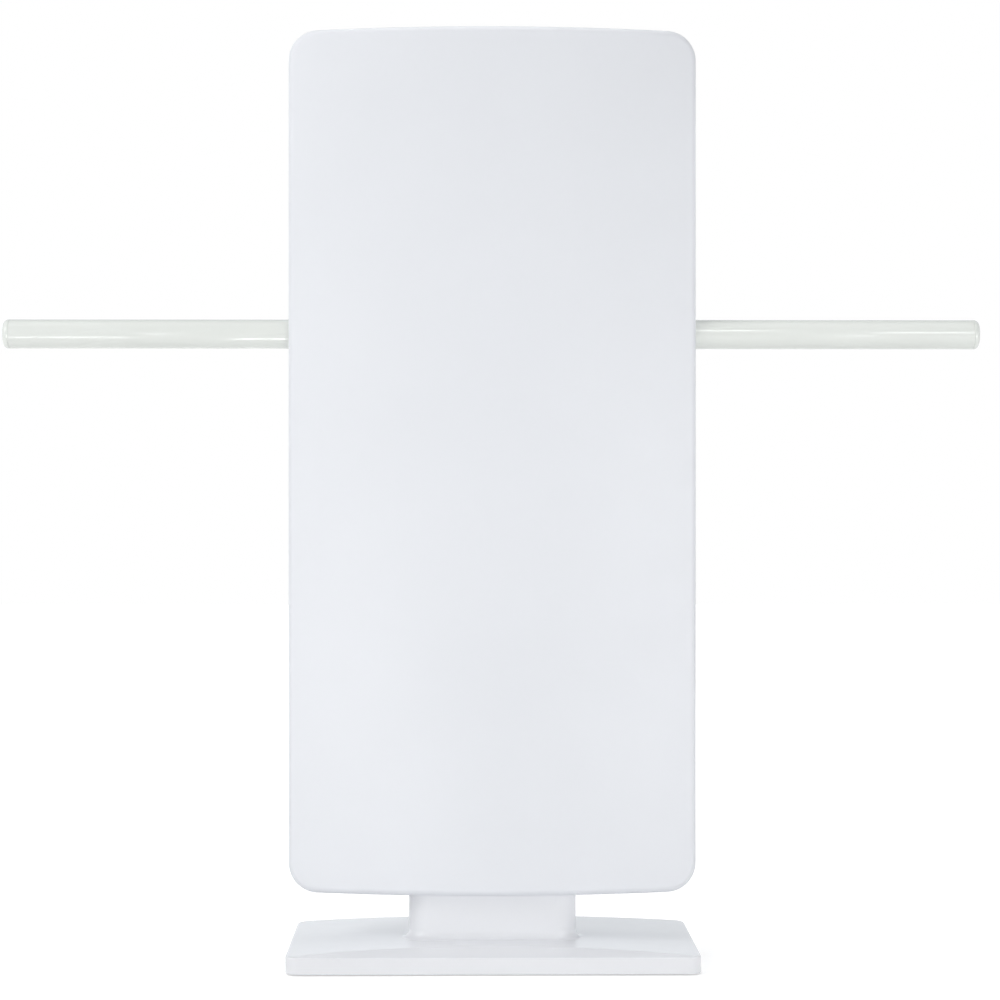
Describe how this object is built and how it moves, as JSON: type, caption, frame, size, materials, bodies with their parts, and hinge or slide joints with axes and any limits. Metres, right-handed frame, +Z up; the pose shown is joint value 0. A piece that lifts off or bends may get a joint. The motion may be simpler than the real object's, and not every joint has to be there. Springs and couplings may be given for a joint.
{
  "type": "amplified indoor tv antenna",
  "caption": "Upright white panel antenna with a bowed front, a round rod out of each side, a short neck and a low crowned base, and a coax jack in a bay at the back.",
  "frame": {"origin": "on the table, under the middle of the base", "axes": "+X to the viewer's right along the rods, +Y to the back, +Z up"},
  "size_m": [0.698, 0.15, 0.6604],
  "materials": {
    "housing_white": "glossy moulded white, cool",
    "stand_white": "glossy moulded white, cool",
    "bottom_white": "fine-grained moulded white",
    "rod_white": "glossy white tube",
    "screw_steel": "zinc plated",
    "insert_brass": "turned",
    "loop_aluminium": "rolled sheet",
    "board_green": "solder mask",
    "can_tinplate": "tinned",
    "core_ferrite": "pressed ferrite",
    "chip_black": "moulded",
    "lead_jacket": "extruded jacket",
    "jack_nickel": "nickel plated",
    "jack_plastic": "moulded",
    "ballast_steel": "dipped black",
    "foot_rubber": "die-cut"
  },
  "bodies": {
    "root": {"amplifier_board": "board_green", "amplifier_chip": "chip_black", "ballast_plate": "ballast_steel", "balun_core": "core_ferrite", "bottom_screws": "screw_steel", "bracket_inserts": "insert_brass", "coax_jack": "jack_nickel", "coax_lead": "lead_jacket", "cover_screws": "screw_steel", "feed_screws": "screw_steel", "foot_front_left": "foot_rubber", "foot_front_right": "foot_rubber", "foot_rear_left": "foot_rubber", "foot_rear_right": "foot_rubber", "front_cover": "housing_white", "jack_contact": "insert_brass", "jack_insulator": "jack_plastic", "jack_nut": "jack_nickel", "jack_washer": "jack_nickel", "left_rod_cap": "rod_white", "left_rod_element": "loop_aluminium", "left_rod_plug": "rod_white", "left_rod_sheath": "rod_white", "left_rod_socket": "insert_brass", "left_rod_stud": "screw_steel", "left_vhf_lead": "lead_jacket", "loop_screws": "screw_steel", "lower_loop": "loop_aluminium", "neck_screws": "screw_steel", "rear_cover": "housing_white", "right_rod_cap": "rod_white", "right_rod_element": "loop_aluminium", "right_rod_plug": "rod_white", "right_rod_sheath": "rod_white", "right_rod_socket": "insert_brass", "right_rod_stud": "screw_steel", "right_vhf_lead": "lead_jacket", "shield_can": "can_tinplate", "stand_body": "stand_white", "stand_bottom": "bottom_white", "upper_loop": "loop_aluminium"}
  },
  "joints": []
}
